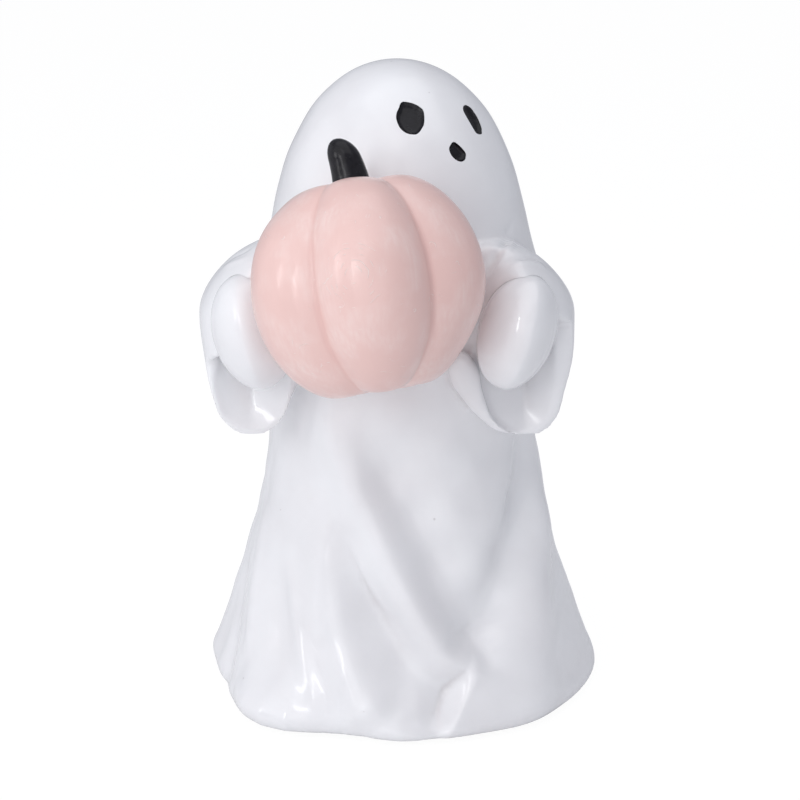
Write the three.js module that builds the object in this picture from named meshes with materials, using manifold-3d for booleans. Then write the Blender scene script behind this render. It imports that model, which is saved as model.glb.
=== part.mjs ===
// A ghost figurine in cast resin: a bed-sheet ghost with wide sleeves holds a ribbed pumpkin in both hands.
// Millimetres, +Z up. The origin is the middle of the footprint on the shelf, and the ghost's front faces -Y.
// Angles round the gown are in degrees from the front, positive towards the ghost's left hand (+X).
import * as THREE from "three";
import { mergeVertices, toCreasedNormals } from "three/addons/utils/BufferGeometryUtils.js";
import Module from "manifold-3d";

const wasm = await Module();
wasm.setup();

// Gap round each glued joint, and round the enamel in its socket.
const GLUE_GAP = 0.3;

// Felt pad under the gown.
const PAD_THICKNESS = 0.7;
const PAD_INSET = 5;

// Gown: the skirt runs from the pad up to the waist, and torso and head are one bell from there to the crown.
const SKIRT_HEIGHT = 54;
const BELL_HEIGHT = 65;
const WAIST_RADIUS = 25.2;
const HEM_FLARE = 13;
const FLARE_CURVE = 1.75;
const CROWN_FULLNESS = 3.5;
const HEM_EDGE_HEIGHT = 2.6;
const HEM_EDGE_DEPTH = 1.8;
const CROWN_LEAN = 1.4;
const SHOULDER_RISE = 1.2;
const SHOULDER_SPREAD = 9.5;

// Folds in the cloth: how far a fold of size 1 stands out, and its half width at the foot.
const FOLD_DEPTH = 2.3;
const FOLD_WIDTH = 3.8;

// Pumpkin, leaning to the ghost's right with its top tipped back against the chest.
const PUMPKIN_RADIUS = 20.7;
const PUMPKIN_HALF_HEIGHT = 20.4;
const PUMPKIN_LOBES = 5;
const GROOVE_DEPTH = 3.4;
const DIMPLE_DEPTH = 3.6;
const DIMPLE_RADIUS = 7;
const CHEST_SEAT = 8.5;
const PUMPKIN_X = -6.5;
const PUMPKIN_RISE = 31.4;
const PUMPKIN_TIP_BACK = 16;
const PUMPKIN_LEAN = 9;
const FRONT_LOBE_TURN = 8.5;

// Stem, with a peg that is glued into the top of the pumpkin.
const STEM_RADIUS = 3.6;
const STEM_LENGTH = 9.6;
const STEM_TAPER = 0.9;
const STEM_BEND = 1.4;
const PEG_RADIUS = 1.6;
const PEG_LENGTH = 3;

// Hands: mittens that cup the pumpkin's sides, each with a wrist glued into its sleeve.
const HAND_HALF_WIDTH = 7.3;
const HAND_HALF_HEIGHT = 10.7;
const HAND_HALF_DEPTH = 8.5;
const HAND_GRIP = 1.5;
const HAND_DROP = 9.5;
const HAND_BACK = 8.5;
const HAND_TILT = 11;
const WRIST_RADIUS = 4;
const WRIST_LENGTH = 4;

// Sleeves: wide openings round the hands, drawn out to a hanging tip.
const ARMS_X = -3.2;
const SLEEVE_ROOM = 0.5;
const SLEEVE_WALL = 1.5;
const SLEEVE_SPLAY = 0.2;
const SLEEVE_TIP_DROP = 11.3;
const SLEEVE_HOLLOW = 6;
const CUFF_BACK = 4.5;
const ARM_LENGTH = 28;
const ARM_SPREAD = 10;

// Face: ovals of black enamel lying in shallow sockets.
const EYE_HALF_WIDTH = 2.7;
const EYE_HALF_HEIGHT = 3.4;
const RIGHT_EYE_DROP = 7.9;
const LEFT_EYE_DROP = 9;
const MOUTH_HALF_WIDTH = 1.9;
const MOUTH_HALF_HEIGHT = 2.1;
const MOUTH_DROP = 13.9;
const SOCKET_DEPTH = 1.2;
const ENAMEL_THICKNESS = 0.5;

const rad = THREE.MathUtils.degToRad;
const { clamp, lerp, smoothstep } = THREE.MathUtils;
const TINY = 1e-6;
const STEP = 0.1;
const MERGE = 1e-3;
const CREASE_ANGLE = 35;

// Solids: a closed three.js geometry as a manifold solid, and back. Corners closer than the merge distance
// become one, so no face is a sliver.
function solid(geometry) {
  const bare = geometry.clone();
  bare.deleteAttribute("normal");
  bare.deleteAttribute("uv");
  const merged = mergeVertices(bare, MERGE / 10);
  return new wasm.Manifold(
    new wasm.Mesh({
      numProp: 3,
      vertProperties: merged.attributes.position.array,
      triVerts: new Uint32Array(merged.index.array),
    }),
  );
}

function geometryOf(manifold) {
  const mesh = manifold.getMesh();
  const cut = new THREE.BufferGeometry();
  cut.setAttribute("position", new THREE.BufferAttribute(mesh.vertProperties, 3));
  cut.setIndex(new THREE.BufferAttribute(mesh.triVerts, 1));
  const merged = mergeVertices(cut, MERGE);
  const corners = [];
  for (let i = 0; i < merged.index.count; i += 3) {
    const face = [i, i + 1, i + 2].map((corner) => merged.index.getX(corner));
    if (new Set(face).size === 3) corners.push(...face);
  }
  merged.setIndex(corners);
  return toCreasedNormals(merged, rad(CREASE_ANGLE));
}

// Moves every vertex of a geometry by a function, as a modeller pushes clay.
function sculpt(geometry, move) {
  const position = geometry.attributes.position;
  const point = new THREE.Vector3();
  for (let i = 0; i < position.count; i++) {
    move(point.fromBufferAttribute(position, i));
    position.setXYZ(i, point.x, point.y, point.z);
  }
  return geometry;
}

// Gown
const GOWN_FLOOR = PAD_THICKNESS + GLUE_GAP;
const WAIST_Z = GOWN_FLOOR + SKIRT_HEIGHT;
const CROWN_Z = WAIST_Z + BELL_HEIGHT;
const CHEST_Z = WAIST_Z + PUMPKIN_RISE;
const HAND_Z = CHEST_Z - HAND_DROP;

function profileRadius(z) {
  if (z > WAIST_Z) {
    const share = clamp((z - WAIST_Z) / BELL_HEIGHT, 0, 1);
    return WAIST_RADIUS * Math.sqrt(1 - share ** CROWN_FULLNESS);
  }
  const flare = HEM_FLARE * ((WAIST_Z - z) / SKIRT_HEIGHT) ** FLARE_CURVE;
  const edge = clamp((GOWN_FLOOR + HEM_EDGE_HEIGHT - z) / HEM_EDGE_HEIGHT, 0, 1);
  return WAIST_RADIUS + flare - HEM_EDGE_DEPTH * (1 - Math.sqrt(1 - edge ** 2));
}

function axisX(z) {
  return (-CROWN_LEAN * z) / CROWN_Z;
}

// Each fold runs from its head to its foot, given as an angle and a share of the skirt's height. Bend bows it
// sideways. Rise and width are shares of the fold's size, and a valley's rise is below zero. Sharp narrows
// the side towards the ghost's left, and hem is how much of the fold is left at the gown's edge.
const FOLDS = [
  { head: [-33, 1.16], foot: [19, 0.06], bend: 2, rise: 1.1, width: 1.1, sharp: 0.7, hem: 0.7 },
  { head: [-12, 0.92], foot: [20, 0.2], bend: 4, rise: -0.9, width: 1, sharp: 1.2, hem: 0.2 },
  { head: [5, 1.1], foot: [22, 0.38], bend: 0, rise: 0.35, width: 2, sharp: 1, hem: 0 },
  { head: [60, 1.02], foot: [22, 0.2], bend: 0, rise: -0.9, width: 1, sharp: 1, hem: 0.2 },
  { head: [66, 0.82], foot: [28, 0.05], bend: -2, rise: 0.9, width: 1.2, sharp: 1, hem: 0.8 },
  { head: [96, 1], foot: [84, 0.2], bend: 0, rise: -0.5, width: 2.4, sharp: 1, hem: 0 },
  { head: [-31, 0.76], foot: [-4, 0.05], bend: -6, rise: 0.6, width: 0.8, sharp: 0.5, hem: 0.6 },
  { head: [-26, 0.72], foot: [8, 0.03], bend: -6, rise: -0.9, width: 0.9, sharp: 1, hem: 0 },
  { head: [-50, 0.64], foot: [-25, 0.08], bend: -2, rise: 0.6, width: 0.9, sharp: 0.7, hem: 0.6 },
  { head: [-66, 0.6], foot: [-46, 0.02], bend: -4, rise: 1.6, width: 1.9, sharp: 1, hem: 1.1 },
  { head: [-80, 0.5], foot: [-72, 0.02], bend: 0, rise: -0.7, width: 1, sharp: 1, hem: 1 },
  { head: [-98, 0.7], foot: [-94, 0.02], bend: 0, rise: 0.5, width: 1.6, sharp: 1, hem: 0.8 },
  { head: [125, 1.1], foot: [116, 0.05], bend: 3, rise: -0.8, width: 1.3, sharp: 1, hem: 0.5 },
  { head: [140, 1], foot: [144, 0.04], bend: -3, rise: 0.8, width: 1.4, sharp: 0.8, hem: 0.8 },
  { head: [172, 1.1], foot: [166, 0.08], bend: 4, rise: -0.8, width: 1.3, sharp: 1, hem: 0.5 },
  { head: [196, 0.95], foot: [190, 0.04], bend: 3, rise: 0.8, width: 1.6, sharp: 1, hem: 0.8 },
  { head: [212, 1.05], foot: [222, 0.1], bend: 0, rise: -0.9, width: 1.2, sharp: 1, hem: 0.5 },
  { head: [240, 0.85], foot: [246, 0.05], bend: -3, rise: 0.8, width: 1.5, sharp: 1, hem: 0.8 },
];

// The turn from one angle to another, from -180 to 180.
function turnBetween(from, to) {
  return ((((to - from + 180) % 360) + 360) % 360) - 180;
}

// How far the folds push the cloth out, or in below zero.
function foldRise(angle, z) {
  const share = (z - GOWN_FLOOR) / SKIRT_HEIGHT;
  const radius = profileRadius(z);
  let rise = 0;
  for (const fold of FOLDS) {
    const [headAngle, headShare] = fold.head;
    const [footAngle, footShare] = fold.foot;
    const along = Math.min((headShare - share) / (headShare - footShare), 1);
    if (along <= 0) continue;
    const middle = lerp(headAngle, footAngle, along) + fold.bend * 4 * along * (1 - along);
    const turn = turnBetween(middle, angle);
    const halfWidth = FOLD_WIDTH * fold.width * (turn > 0 ? fold.sharp : 1) * (0.6 + 0.6 * along);
    const across = (rad(turn) * radius) / halfWidth;
    const strength = smoothstep(along, 0, 0.45) * lerp(fold.hem, 1, smoothstep(share, 0, 0.15));
    rise += FOLD_DEPTH * fold.rise * strength * Math.exp(-across * across);
  }
  return rise;
}

// The cloth swells over each upper arm.
const SHOULDER_ANGLE = 78;

function shoulderRise(angle, z) {
  const up = (z - HAND_Z) / SHOULDER_SPREAD;
  let rise = 0;
  for (const side of [1, -1]) {
    const across = (rad(turnBetween(side * SHOULDER_ANGLE, angle)) * WAIST_RADIUS) / SHOULDER_SPREAD;
    rise += SHOULDER_RISE * Math.exp(-across * across - up * up);
  }
  return rise;
}

function gownRadius(angle, z) {
  return profileRadius(z) + foldRise(angle, z) + shoulderRise(angle, z);
}

// The point of the gown's surface at an angle and height.
function onGown(angle, z) {
  const radius = gownRadius(angle, z);
  return new THREE.Vector3(axisX(z) + radius * Math.sin(rad(angle)), -radius * Math.cos(rad(angle)), z);
}

// Where each line of cloth that starts at an angle under the arms comes down at the hem. The folds draw the
// cloth together in front of the ghost's left foot.
const DRAPE = [
  [-180, -180],
  [-95, -88],
  [-67, -60],
  [-45, -30],
  [-30, -6],
  [-10, 10],
  [20, 21],
  [50, 34],
  [75, 60],
  [100, 95],
  [180, 180],
];

function drapedAngle(angle, z) {
  const next = Math.max(1, DRAPE.findIndex(([start]) => start >= angle));
  const [startA, footA] = DRAPE[next - 1];
  const [startB, footB] = DRAPE[next];
  const foot = lerp(footA, footB, (angle - startA) / (startB - startA));
  return lerp(foot, angle, clamp((z - GOWN_FLOOR) / SKIRT_HEIGHT, 0, 1));
}

const GOWN_SEGMENTS = 66;
const HEM_ROWS = 3;
const SKIRT_ROWS = 16;
const BELL_ROWS = 14;

function gownSolid() {
  const outline = [new THREE.Vector2(0, GOWN_FLOOR)];
  const addRow = (z) => outline.push(new THREE.Vector2(profileRadius(z), z));
  const quarter = Math.PI / 2;
  const edgeTop = GOWN_FLOOR + HEM_EDGE_HEIGHT;
  for (let i = 0; i < HEM_ROWS; i++) addRow(edgeTop - HEM_EDGE_HEIGHT * Math.cos((i / HEM_ROWS) * quarter));
  for (let i = 0; i < SKIRT_ROWS; i++) addRow(lerp(edgeTop, WAIST_Z, i / SKIRT_ROWS));
  for (let i = 0; i < BELL_ROWS; i++) addRow(WAIST_Z + BELL_HEIGHT * Math.sin((i / BELL_ROWS) * quarter));
  outline.push(new THREE.Vector2(0, CROWN_Z));
  const lathe = new THREE.LatheGeometry(outline, GOWN_SEGMENTS).rotateX(Math.PI / 2);
  return solid(
    sculpt(lathe, (p) => {
      if (Math.hypot(p.x, p.y) < TINY) {
        p.set(axisX(p.z), 0, p.z);
      } else {
        const angle = THREE.MathUtils.radToDeg(Math.atan2(p.x, -p.y));
        p.copy(onGown(drapedAngle(angle, p.z), p.z));
      }
    }),
  );
}

// Felt pad
function padSolid() {
  const radius = WAIST_RADIUS + HEM_FLARE - PAD_INSET;
  const disc = new THREE.CylinderGeometry(radius, radius, PAD_THICKNESS, 48).rotateX(Math.PI / 2);
  return solid(disc.translate(0, 0, PAD_THICKNESS / 2));
}

// Pumpkin
const PUMPKIN_CENTRE = new THREE.Vector3(
  PUMPKIN_X,
  -profileRadius(CHEST_Z) - PUMPKIN_RADIUS + CHEST_SEAT,
  CHEST_Z,
);
const PUMPKIN_TURN = new THREE.Euler(-rad(PUMPKIN_TIP_BACK), rad(-PUMPKIN_LEAN), 0, "YXZ");
const DIMPLE_Z = PUMPKIN_HALF_HEIGHT - DIMPLE_DEPTH;

// Moves a geometry from the pumpkin's own frame, with its core along Z, to its place in the hands.
function inPumpkin(geometry) {
  const turn = new THREE.Quaternion().setFromEuler(PUMPKIN_TURN);
  return geometry.applyQuaternion(turn).translate(...PUMPKIN_CENTRE.toArray());
}

// The pumpkin's skin, grown out all over by extra.
function pumpkinSolid(extra) {
  const ball = new THREE.SphereGeometry(1, PUMPKIN_LOBES * 10, 20).rotateX(Math.PI / 2);
  const skin = sculpt(ball, (p) => {
    const flat = Math.hypot(p.x, p.y);
    const round = Math.atan2(p.x, -p.y) - rad(FRONT_LOBE_TURN);
    const groove = 1 - Math.abs(Math.cos((PUMPKIN_LOBES / 2) * round)) ** 0.7;
    const radius = (PUMPKIN_RADIUS - GROOVE_DEPTH * groove) * flat ** 0.9;
    const dimple = DIMPLE_DEPTH * Math.exp(-((radius / DIMPLE_RADIUS) ** 2));
    const scale = flat > TINY ? radius / flat + extra : 0;
    p.set(p.x * scale, p.y * scale, (PUMPKIN_HALF_HEIGHT - dimple + extra) * p.z);
  });
  return solid(inPumpkin(skin));
}

// Stem: a tapering horn that bends to the ghost's right, standing on its peg.
const STEM_ROUND_FROM = 0.65;

function stemSolid() {
  const horn = new THREE.CylinderGeometry(1, 1, 1, 18, 10).rotateX(Math.PI / 2);
  sculpt(horn, (p) => {
    const along = p.z + 0.5;
    const tip = Math.max(0, along - STEM_ROUND_FROM) / (1 - STEM_ROUND_FROM);
    const radius = (STEM_RADIUS - STEM_TAPER * along) * Math.sqrt(1.05 - tip ** 2);
    p.set(p.x * radius - STEM_BEND * along ** 2, p.y * radius, DIMPLE_Z + STEM_LENGTH * along);
  });
  return solid(inPumpkin(horn)).subtract(pumpkinSolid(GLUE_GAP)).add(pegSolid(0));
}

function pegSolid(extra) {
  const length = PEG_LENGTH + GLUE_GAP + STEM_LENGTH / 2;
  const peg = new THREE.CylinderGeometry(PEG_RADIUS + extra, PEG_RADIUS + extra, length + extra, 20);
  peg.rotateX(Math.PI / 2).translate(0, 0, DIMPLE_Z - PEG_LENGTH + (length - extra) / 2);
  return solid(inPumpkin(peg));
}

// Hands and sleeves: side is 1 for the ghost's left and -1 for its right.
const HAND_REACH = Math.sqrt(PUMPKIN_RADIUS ** 2 - HAND_DROP ** 2) + HAND_HALF_WIDTH - HAND_GRIP;

function handCentre(side) {
  return new THREE.Vector3(ARMS_X + side * HAND_REACH, PUMPKIN_CENTRE.y + HAND_BACK, HAND_Z);
}

function handSolid(side) {
  const ball = new THREE.SphereGeometry(1, 24, 16).rotateX(Math.PI / 2);
  ball.scale(HAND_HALF_WIDTH, HAND_HALF_DEPTH, HAND_HALF_HEIGHT);
  ball.rotateY(side * rad(HAND_TILT));
  const centre = handCentre(side);
  ball.translate(centre.x, centre.y, centre.z);
  return solid(ball).add(wristSolid(side, 0)).subtract(pumpkinSolid(GLUE_GAP));
}

function wristSolid(side, extra) {
  const length = CUFF_BACK + SLEEVE_HOLLOW + WRIST_LENGTH + extra;
  const wrist = new THREE.CylinderGeometry(WRIST_RADIUS + extra, WRIST_RADIUS + extra, length, 20);
  const centre = handCentre(side);
  return solid(wrist.translate(centre.x, centre.y + length / 2, centre.z));
}

// Part of a sleeve's form, from one share of the arm's length to another: 0 is inside the torso and 1 is the
// cuff. Its section is an oval, drawn out to a tip below. Inset shrinks it.
function armSolid(side, from, to, inset) {
  const hand = handCentre(side);
  const cuffY = hand.y + CUFF_BACK;
  const fullWidth = HAND_HALF_WIDTH + SLEEVE_ROOM + SLEEVE_WALL;
  const fullTop = HAND_HALF_HEIGHT + SLEEVE_ROOM;
  const arm = new THREE.CylinderGeometry(1, 1, 1, 28, 7).rotateX(Math.PI / 2);
  sculpt(arm, (p) => {
    const share = lerp(from, to, p.z + 0.5);
    const flat = Math.hypot(p.x, p.y);
    const up = flat > TINY ? p.y / flat : 0;
    const across = flat > TINY ? p.x / flat : 0;
    const reach = smoothstep(share, -0.2, 0.8);
    const halfWidth = fullWidth * lerp(0.8, 1, reach) - inset;
    const top = fullTop * lerp(0.7, 1, reach) - inset;
    const bottom = lerp(fullTop * 0.7, HAND_HALF_HEIGHT + SLEEVE_TIP_DROP, share) - inset;
    const drawnIn = Math.sign(across) * Math.abs(across) ** 1.2;
    const centreX = ARMS_X + side * lerp(ARM_SPREAD, HAND_REACH + SLEEVE_SPLAY, reach);
    const x = centreX + flat * drawnIn * halfWidth;
    const z = hand.z + p.y * (up < 0 ? bottom : top);
    p.set(x, cuffY + ARM_LENGTH * (1 - share), z);
  });
  return solid(arm);
}

// Face
const EYE = { halfWidth: EYE_HALF_WIDTH, halfHeight: EYE_HALF_HEIGHT };
const FACE = [
  { name: "right_eye", angle: 8, drop: RIGHT_EYE_DROP, ...EYE },
  { name: "left_eye", angle: 54, drop: LEFT_EYE_DROP, ...EYE },
  { name: "mouth", angle: 34, drop: MOUTH_DROP, halfWidth: MOUTH_HALF_WIDTH, halfHeight: MOUTH_HALF_HEIGHT },
];

// A short oval bar standing square on the face, from one depth to another: below zero is inside the head.
function ovalBar(feature, from, to, extra) {
  const z = CROWN_Z - feature.drop;
  const at = onGown(feature.angle, z);
  const right = new THREE.Vector3(Math.cos(rad(feature.angle)), Math.sin(rad(feature.angle)), 0);
  const up = onGown(feature.angle, z + STEP).sub(onGown(feature.angle, z - STEP)).normalize();
  const out = new THREE.Vector3().crossVectors(right, up).normalize();
  const bar = new THREE.CylinderGeometry(1, 1, to - from, 28).rotateX(Math.PI / 2);
  bar.scale(feature.halfWidth + extra, feature.halfHeight + extra, 1).translate(0, 0, (from + to) / 2);
  return solid(bar.applyMatrix4(new THREE.Matrix4().makeBasis(right, up, out).setPosition(at)));
}

// Materials
function finish(colour, roughness) {
  return new THREE.MeshStandardMaterial({ color: colour, roughness, metalness: 0 });
}
const WHITE_LACQUER = finish(0xf1f1f4, 0.25);
const PINK_PAINT = finish(0xe8c4c2, 0.45);
const BLACK_ENAMEL = finish(0x1d1c20, 0.25);
const WHITE_FELT = finish(0xe4e2dc, 0.95);

// The figurine
const figurine = new THREE.Group();

function addPiece(name, manifold, material) {
  const mesh = new THREE.Mesh(geometryOf(manifold), material);
  mesh.name = name;
  figurine.add(mesh);
}

function bodySolid() {
  let body = gownSolid();
  for (const side of [1, -1]) body = body.add(armSolid(side, 0, 1, 0));
  for (const side of [1, -1]) {
    body = body.subtract(armSolid(side, 1 - SLEEVE_HOLLOW / ARM_LENGTH, 1.1, SLEEVE_WALL));
    body = body.subtract(wristSolid(side, GLUE_GAP));
  }
  body = body.subtract(pumpkinSolid(GLUE_GAP));
  for (const feature of FACE) body = body.subtract(ovalBar(feature, -SOCKET_DEPTH, SOCKET_DEPTH, GLUE_GAP));
  return body;
}

addPiece("ghost_body", bodySolid(), WHITE_LACQUER);
addPiece("left_hand", handSolid(1), WHITE_LACQUER);
addPiece("right_hand", handSolid(-1), WHITE_LACQUER);
addPiece("pumpkin", pumpkinSolid(0).subtract(pegSolid(GLUE_GAP)), PINK_PAINT);
addPiece("pumpkin_stem", stemSolid(), BLACK_ENAMEL);
for (const feature of FACE) {
  const floor = GLUE_GAP - SOCKET_DEPTH;
  addPiece(feature.name, ovalBar(feature, floor, floor + ENAMEL_THICKNESS, 0), BLACK_ENAMEL);
}
addPiece("felt_pad", padSolid(), WHITE_FELT);

export default figurine;
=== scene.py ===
# %% [markdown]
# A ghost figurine in cast resin, about 120 mm tall, holds a ribbed pumpkin to its chest. This file builds
# what the eye sees of it, piece by piece: the white body, two hands, the pumpkin and its stem, the black
# enamel of the face and the felt under the foot. It starts from a measured model of the same pieces, which
# gives every place and size, and that model is loaded first.

# %% The measured model
import math

import bpy
import numpy as np
from mathutils import Matrix, Vector, noise
from mathutils.bvhtree import BVHTree


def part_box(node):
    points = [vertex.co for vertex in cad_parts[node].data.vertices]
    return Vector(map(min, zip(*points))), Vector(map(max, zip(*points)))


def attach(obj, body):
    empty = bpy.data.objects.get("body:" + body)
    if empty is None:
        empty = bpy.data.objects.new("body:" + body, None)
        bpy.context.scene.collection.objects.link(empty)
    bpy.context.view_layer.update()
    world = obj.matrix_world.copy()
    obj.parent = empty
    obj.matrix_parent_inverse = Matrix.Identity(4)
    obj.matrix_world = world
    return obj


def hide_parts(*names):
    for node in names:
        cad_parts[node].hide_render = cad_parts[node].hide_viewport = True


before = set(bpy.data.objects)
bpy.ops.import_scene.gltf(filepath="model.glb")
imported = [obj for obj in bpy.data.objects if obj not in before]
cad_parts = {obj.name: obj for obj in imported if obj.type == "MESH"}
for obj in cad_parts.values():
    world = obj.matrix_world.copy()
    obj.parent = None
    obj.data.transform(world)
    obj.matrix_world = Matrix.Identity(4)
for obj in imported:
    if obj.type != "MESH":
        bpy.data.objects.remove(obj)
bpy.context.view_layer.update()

MM = 0.001
for name in sorted(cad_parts):
    low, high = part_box(name)
    print(name, [round((b - a) / MM, 1) for a, b in zip(low, high)])

# %% [markdown]
# The camera stands where the photographer's did: a little above the ghost's head, looking down at it from
# the front. A long lens keeps the upright lines nearly parallel.

# %% Camera
CAMERA_PLACE = (-0.9, -420.0, 186.0)
CAMERA_PITCH = 17.367
CAMERA_LENS = 103.37
CAMERA_SENSOR = 36

camera_data = bpy.data.cameras.new("camera")
camera_data.lens = CAMERA_LENS
camera_data.sensor_width = CAMERA_SENSOR
camera = bpy.data.objects.new("camera", camera_data)
camera.location = Vector(CAMERA_PLACE) * MM
camera.rotation_euler = (math.radians(90 - CAMERA_PITCH), 0, 0)
bpy.context.collection.objects.link(camera)
bpy.context.scene.camera = camera
print("camera at", CAMERA_PLACE, "mm")

# %% [markdown]
# A few small helpers come first. Operators act on whatever is selected, so only() selects one object and
# nothing else, and nothing_selected() empties the selection of faces or edges before the code picks its own.
# points() and move_points() read and write all the corners of a mesh at once, in millimetres, which is how
# the modelling below pushes a surface about like clay.

# %% Helpers
def only(piece):
    bpy.ops.object.select_all(action="DESELECT")
    piece.select_set(True)
    bpy.context.view_layer.objects.active = piece
    return piece


def named(name):
    piece = bpy.context.active_object
    piece.name = name
    piece.data.name = name
    return piece


def nothing_selected(kind):
    bpy.ops.object.mode_set(mode="EDIT")
    bpy.ops.mesh.select_mode(type=kind)
    bpy.ops.mesh.select_all(action="DESELECT")
    bpy.ops.object.mode_set(mode="OBJECT")


def triangle_count(piece):
    return sum(len(face.vertices) - 2 for face in piece.data.polygons)


def points(piece):
    flat = np.empty(len(piece.data.vertices) * 3)
    piece.data.vertices.foreach_get("co", flat)
    return flat.reshape(-1, 3) / MM


def move_points(piece, places):
    piece.data.vertices.foreach_set("co", (places * MM).ravel())
    piece.data.update()


def normals(piece):
    flat = np.empty(len(piece.data.vertices) * 3)
    piece.data.vertices.foreach_get("normal", flat)
    return flat.reshape(-1, 3)


def apply_modifier(piece, kind, **settings):
    only(piece)
    bpy.ops.object.modifier_add(type=kind)
    modifier = piece.modifiers[-1]
    for key, value in settings.items():
        setattr(modifier, key, value)
    bpy.ops.object.modifier_apply(modifier=modifier.name)


def combine(piece, other, operation="DIFFERENCE"):
    apply_modifier(piece, "BOOLEAN", object=other, operation=operation, solver="MANIFOLD")
    bpy.data.objects.remove(other)


def smooth_step(value, low, high):
    share = np.clip((value - low) / (high - low), 0, 1)
    return share * share * (3 - 2 * share)


def mix(low, high, share):
    return low + (high - low) * share


def turn_between(start, end):
    return (end - start + 180) % 360 - 180


# %% [markdown]
# The gown is a bell that was turned before it was folded: a skirt that flares to the hem, and above the
# waist one smooth dome for torso and head. Its sizes are those of the measured model, in millimetres, with
# angles counted round the bell in degrees from the front, towards the ghost's left hand.

# %% Sizes of the gown
GOWN_FLOOR = 1.0
SKIRT_HEIGHT = 54.0
BELL_HEIGHT = 65.0
WAIST_RADIUS = 25.2
HEM_FLARE = 13.0
FLARE_CURVE = 1.75
CROWN_FULLNESS = 3.5
HEM_EDGE_HEIGHT = 2.6
HEM_EDGE_DEPTH = 1.8
CROWN_LEAN = 1.4
SHOULDER_ANGLE = 78
SHOULDER_RISE = 2.2
SHOULDER_SPREAD = 9.5
WAIST_Z = GOWN_FLOOR + SKIRT_HEIGHT
CROWN_Z = WAIST_Z + BELL_HEIGHT


def profile_radius(z):
    up = np.clip((z - WAIST_Z) / BELL_HEIGHT, 0, 1)
    bell = WAIST_RADIUS * np.sqrt(1 - up**CROWN_FULLNESS)
    down = np.clip((WAIST_Z - z) / SKIRT_HEIGHT, 0, 1)
    edge = np.clip((GOWN_FLOOR + HEM_EDGE_HEIGHT - z) / HEM_EDGE_HEIGHT, 0, 1)
    return bell + HEM_FLARE * down**FLARE_CURVE - HEM_EDGE_DEPTH * (1 - np.sqrt(1 - edge**2))


def axis_x(z):
    return -CROWN_LEAN * z / CROWN_Z


# %% [markdown]
# The blank for the gown starts as a sphere primitive. Its rings are spread along the bell's outline, from
# the middle of the foot over the hem and up to the crown, as a potter would throw it.

# %% The gown's blank
GOWN_SEGMENTS = 200
GOWN_RINGS = 180
OUTLINE_STEPS = 400

bpy.ops.object.select_all(action="DESELECT")
bpy.ops.mesh.primitive_uv_sphere_add(segments=GOWN_SEGMENTS, ring_count=GOWN_RINGS, radius=MM)
body = named("body_casting")

heights = GOWN_FLOOR + (CROWN_Z - GOWN_FLOOR) * (1 - np.cos(np.linspace(0, math.pi, OUTLINE_STEPS))) / 2
outline_z = np.concatenate([[GOWN_FLOOR], heights])
outline_r = np.concatenate([[0.0], profile_radius(heights)])
lengths = np.concatenate([[0.0], np.cumsum(np.hypot(np.diff(outline_r), np.diff(outline_z)))])

sphere = points(body)
around = np.arctan2(sphere[:, 0], -sphere[:, 1])
climb = np.arcsin(np.clip(sphere[:, 2], -1, 1)) / math.pi + 0.5
r = np.interp(climb * lengths[-1], lengths, outline_r)
z = np.interp(climb * lengths[-1], lengths, outline_z)
move_points(body, np.stack([axis_x(z) + r * np.sin(around), -r * np.cos(around), z], axis=1))
print("gown blank", len(body.data.vertices), "points")

# %% [markdown]
# Each sleeve is a wide tube of cloth that slopes down from the shoulder and opens round the hand, with its
# lower edge drawn down to a hanging lip. A cylinder primitive is cut into short lengths, and every ring is
# pushed to the sleeve's section at its place along the arm. Behind the lip the inner side spreads towards
# the torso, where the clay was pressed on. Pairs of values are for the ghost's left (1) and right (-1).

# %% Sizes of the arms
SIDES = ((1, "left"), (-1, "right"))
PUMPKIN_CENTRE = np.array([-6.5, -36.4, 86.4])
ARMS_X = -3.2
SLEEVE_Z = 76.9
HAND_X = {1: 19.85, -1: -27.1}
HAND_Y = -27.9
HAND_Z = 76.0
HAND_HALF_WIDTH = {1: 6.9, -1: 7.1}
HAND_HALF_DEPTH = 8.5
HAND_HALF_HEIGHT = 10.65
HAND_TILT = {1: 16, -1: 13}
CUFF_Y = -23.4
ARM_LENGTH = 28.0
ARM_SPREAD = 10.0
SLEEVE_REACH = {1: 24.6, -1: 24.5}
SLEEVE_HALF_WIDTH = {1: 9.35, -1: 9.6}
SLEEVE_TOP = {1: 11.9, -1: 12.5}
SLEEVE_DROP = 22.0
SLEEVE_SLOPE = 0.5
SLEEVE_FULLNESS = {1: 0.85, -1: 0.8}
LIP_SHIFT = {1: 0.9, -1: -0.2}
SIDE_CLOSES = (-17.0, 13.0)
TOP_CLOSES = (-19.5, 15.5)
CLOSED_ABOVE = {1: (-0.35, 0.25), -1: (-0.65, -0.2)}
HOOD_TIP = -29.8
WEB_WIDTH = {1: 6.5, -1: 3.2}
WEB_DEPTH = {1: 0.06, -1: 0.2}
SLEEVE_SEGMENTS = 128
SLEEVE_RINGS = 90


def ringed_cylinder(name, corners, rings):
    bpy.ops.object.select_all(action="DESELECT")
    bpy.ops.mesh.primitive_cylinder_add(vertices=corners, radius=MM, depth=2 * MM)
    form = named(name)
    nothing_selected("EDGE")
    places = points(form)
    ends = np.array([list(edge.vertices) for edge in form.data.edges])
    upright = np.abs(places[ends[:, 0], 2] - places[ends[:, 1], 2]) > 0.5
    form.data.edges.foreach_set("select", upright)
    bpy.ops.object.mode_set(mode="EDIT")
    bpy.ops.mesh.subdivide(number_cuts=rings)
    bpy.ops.object.mode_set(mode="OBJECT")
    return form


def sleeve_centre(side, share):
    return ARMS_X + side * mix(ARM_SPREAD, SLEEVE_REACH[side], smooth_step(share, -0.2, 0.8))


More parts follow.
